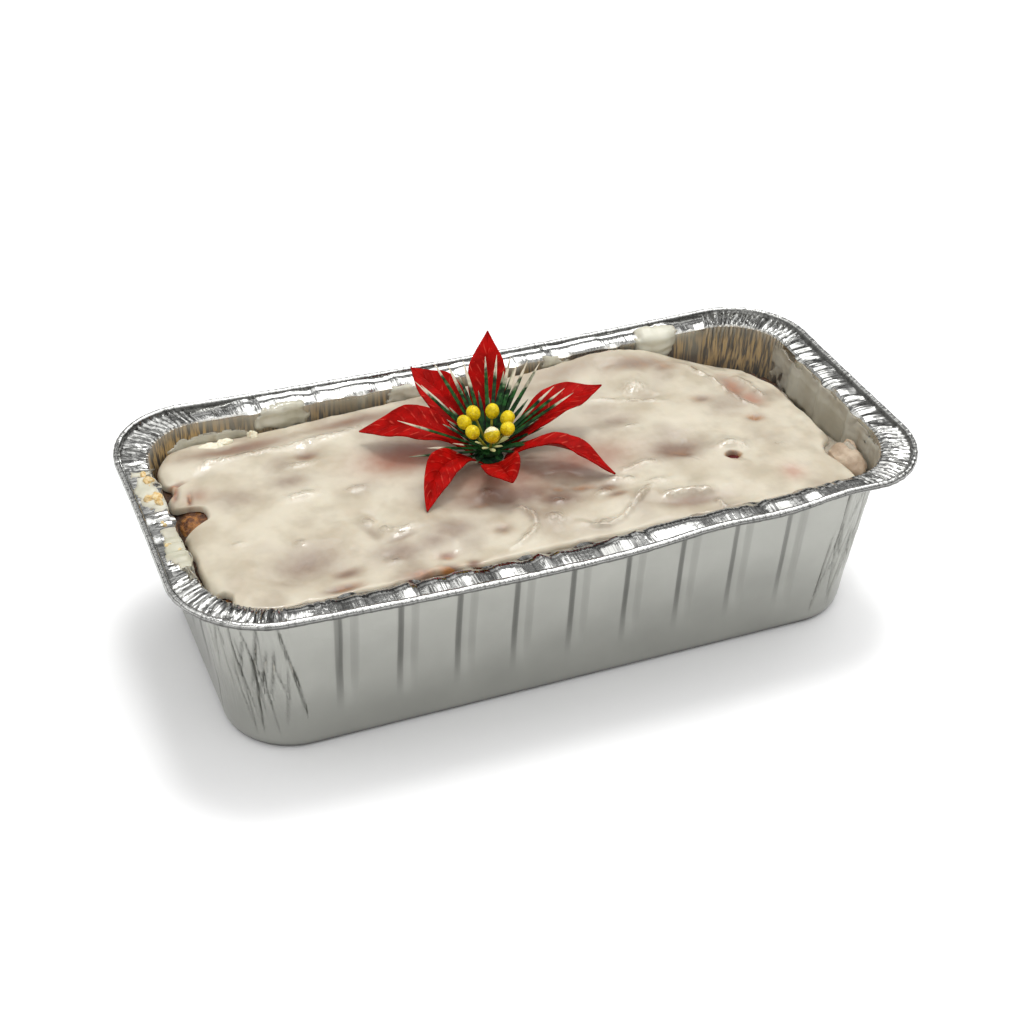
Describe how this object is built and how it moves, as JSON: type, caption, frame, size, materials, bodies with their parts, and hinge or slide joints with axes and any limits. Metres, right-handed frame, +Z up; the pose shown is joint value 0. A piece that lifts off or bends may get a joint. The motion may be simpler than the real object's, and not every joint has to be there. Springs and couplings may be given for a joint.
{
  "type": "cranberry loaf cake",
  "caption": "Iced fruit loaf cake in a fluted foil loaf tin, topped with a small plastic poinsettia of red bracts, green needles and yellow berries",
  "frame": {"origin": "under the middle of the tin's rim, on the surface that the tin stands on", "axes": "+X along the loaf's long side, to the right in the picture; +Y to the back; +Z up"},
  "size_m": [0.2144, 0.1066, 0.0739],
  "materials": {
    "foil": "bright rolled foil, stamped with flutes and pleats, a little crinkled",
    "crust": "baked fruit cake crust: orange brown, dry and crumbly",
    "icing": "poured sugar icing: cream white, smooth and half glossy, with wet spots over the fruit",
    "bract_red": "veined red satin plastic with a soft sheen",
    "berry_yellow": "glossy yellow with a dusting of gold glitter",
    "needle_green": "dark green moulded needles, their outer halves tipped with white"
  },
  "bodies": {
    "root": {"foil_tin": "foil", "cake": "crust", "icing": "icing", "calyx": "needle_green", "bract_back": "bract_red", "bract_back_left": "bract_red", "bract_left": "bract_red", "bract_front_left": "bract_red", "bract_front": "bract_red", "bract_front_right": "bract_red", "bract_right": "bract_red", "needle_spray": "needle_green", "berry_1": "berry_yellow", "berry_2": "berry_yellow", "berry_3": "berry_yellow", "berry_4": "berry_yellow", "berry_5": "berry_yellow", "berry_6": "berry_yellow", "berry_7": "berry_yellow"}
  },
  "joints": []
}
